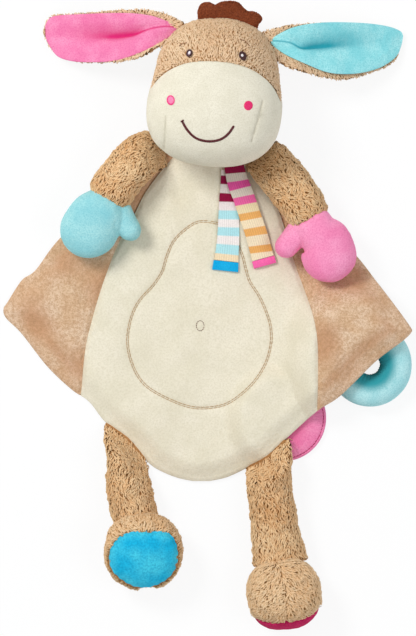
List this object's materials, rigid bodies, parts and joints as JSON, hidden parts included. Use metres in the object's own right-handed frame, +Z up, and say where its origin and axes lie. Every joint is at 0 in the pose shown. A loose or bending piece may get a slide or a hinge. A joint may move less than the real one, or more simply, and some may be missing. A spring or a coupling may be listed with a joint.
{
  "type": "comfort blanket lovey",
  "caption": "Plush donkey comfort blanket: stuffed head, arms and legs on a small padded blanket, with a scarf, a teether ring and a grab disc.",
  "frame": {"origin": "middle of the footprint of the whole toy, on the surface that it lies on", "axes": "+Z up from the surface, towards the face; +Y along the toy from the feet to the head; +X to the right when the face is looked at"},
  "size_m": [0.2872, 0.4386, 0.085],
  "materials": {
    "tan_plush": "matte",
    "tan_velour": "matte",
    "cream_velour": "matte",
    "pink_velour": "matte",
    "aqua_velour": "matte",
    "blue_velour": "matte",
    "berry_velour": "matte",
    "brown_fleece": "matte",
    "stuffing": "matte",
    "dark_thread": "matte",
    "maroon_thread": "matte",
    "pink_thread": "matte",
    "scarf_knit": "matte",
    "ribbon": "matte",
    "ring_velour": "matte"
  },
  "bodies": {
    "blanket": {"blanket_back": "tan_velour", "blanket_wadding": "stuffing", "belly_panel": "cream_velour", "side_panel_left": "tan_velour", "side_panel_right": "tan_velour", "neck_roll": "tan_plush"},
    "head": {"head_cover": "tan_plush", "muzzle_cover": "cream_velour", "head_filling": "stuffing", "mane": "brown_fleece", "eye_left": "dark_thread", "eye_right": "dark_thread", "nostril_left": "pink_thread", "nostril_right": "pink_thread", "mouth_line": "maroon_thread"},
    "ear_left": {"ear_left_back": "tan_plush", "ear_left_lining": "pink_velour"},
    "ear_right": {"ear_right_back": "tan_plush", "ear_right_lining": "aqua_velour"},
    "arm_left": {"arm_left_sleeve": "tan_plush", "arm_left_filling": "stuffing", "mitten_left": "aqua_velour"},
    "arm_right": {"arm_right_sleeve": "tan_plush", "arm_right_filling": "stuffing", "mitten_right": "pink_velour"},
    "leg_left": {"leg_left_cover": "tan_plush", "foot_left_cover": "tan_plush", "sole_left": "blue_velour", "leg_left_filling": "stuffing"},
    "leg_right": {"leg_right_cover": "tan_plush", "foot_right_cover": "tan_plush", "sole_right": "berry_velour", "leg_right_filling": "stuffing"},
    "scarf": {"scarf_tail_left": "scarf_knit", "scarf_hem_blue": "blue_velour", "scarf_tail_right": "scarf_knit", "scarf_hem_pink": "pink_velour"},
    "teether_tape": {"teether_tape": "ribbon"},
    "teether_ring": {"teether_ring": "ring_velour"},
    "disc": {"disc_front": "pink_velour", "disc_back": "pink_velour", "disc_pad": "stuffing", "disc_tape": "ribbon"}
  },
  "joints": [
    {"name": "neck_nod", "type": "hinge", "parent": "blanket", "child": "head", "pos_m": [0.00333, 0.12971, 0.0145], "axis": [1, 0, 0], "range_deg": [-45, 0]},
    {"name": "ear_left_fold", "type": "hinge", "parent": "head", "child": "ear_left", "pos_m": [-0.02627, 0.19701, 0.038], "axis": [0.677, 0.736, 0], "range_deg": [0, 60]},
    {"name": "ear_right_fold", "type": "hinge", "parent": "head", "child": "ear_right", "pos_m": [0.04423, 0.18941, 0.038], "axis": [0.4129, -0.9108, 0], "range_deg": [0, 60]},
    {"name": "arm_left_lift", "type": "hinge", "parent": "blanket", "child": "arm_left", "pos_m": [-0.03107, 0.11711, 0.0115], "axis": [-0.132, 0.9912, 0], "range_deg": [0, 30]},
    {"name": "arm_right_lift", "type": "hinge", "parent": "blanket", "child": "arm_right", "pos_m": [0.03393, 0.11711, 0.0105], "axis": [-0.6801, -0.7331, 0], "range_deg": [0, 20]},
    {"name": "leg_left_lift", "type": "hinge", "parent": "blanket", "child": "leg_left", "pos_m": [-0.05663, -0.08262, 0.00175], "axis": [-0.7331, 0.6801, 0], "range_deg": [-25, 30]},
    {"name": "leg_right_lift", "type": "hinge", "parent": "blanket", "child": "leg_right", "pos_m": [0.04323, -0.08589, 0.01105], "axis": [-0.8, -0.6, 0], "range_deg": [0, 40]},
    {"name": "scarf_lift", "type": "hinge", "parent": "blanket", "child": "scarf", "pos_m": [0.01713, 0.10581, 0.0093], "axis": [-1, 0, 0], "range_deg": [0, 40]},
    {"name": "tape_swing", "type": "hinge", "parent": "blanket", "child": "teether_tape", "pos_m": [0.09341, -0.00942, 0.0213], "axis": [0.7516, 0.6596, 0], "range_deg": [0, 50]},
    {"name": "teether_spin", "type": "hinge", "parent": "teether_tape", "child": "teether_ring", "pos_m": [0.1144, -0.03333, 0.00955], "axis": [0.0383, -0.0436, 0.9983], "continuous": true},
    {"name": "disc_swing", "type": "hinge", "parent": "blanket", "child": "disc", "pos_m": [0.02672, -0.03988, 0.0004], "axis": [0.7516, 0.6596, 0], "range_deg": [0, 80]}
  ]
}
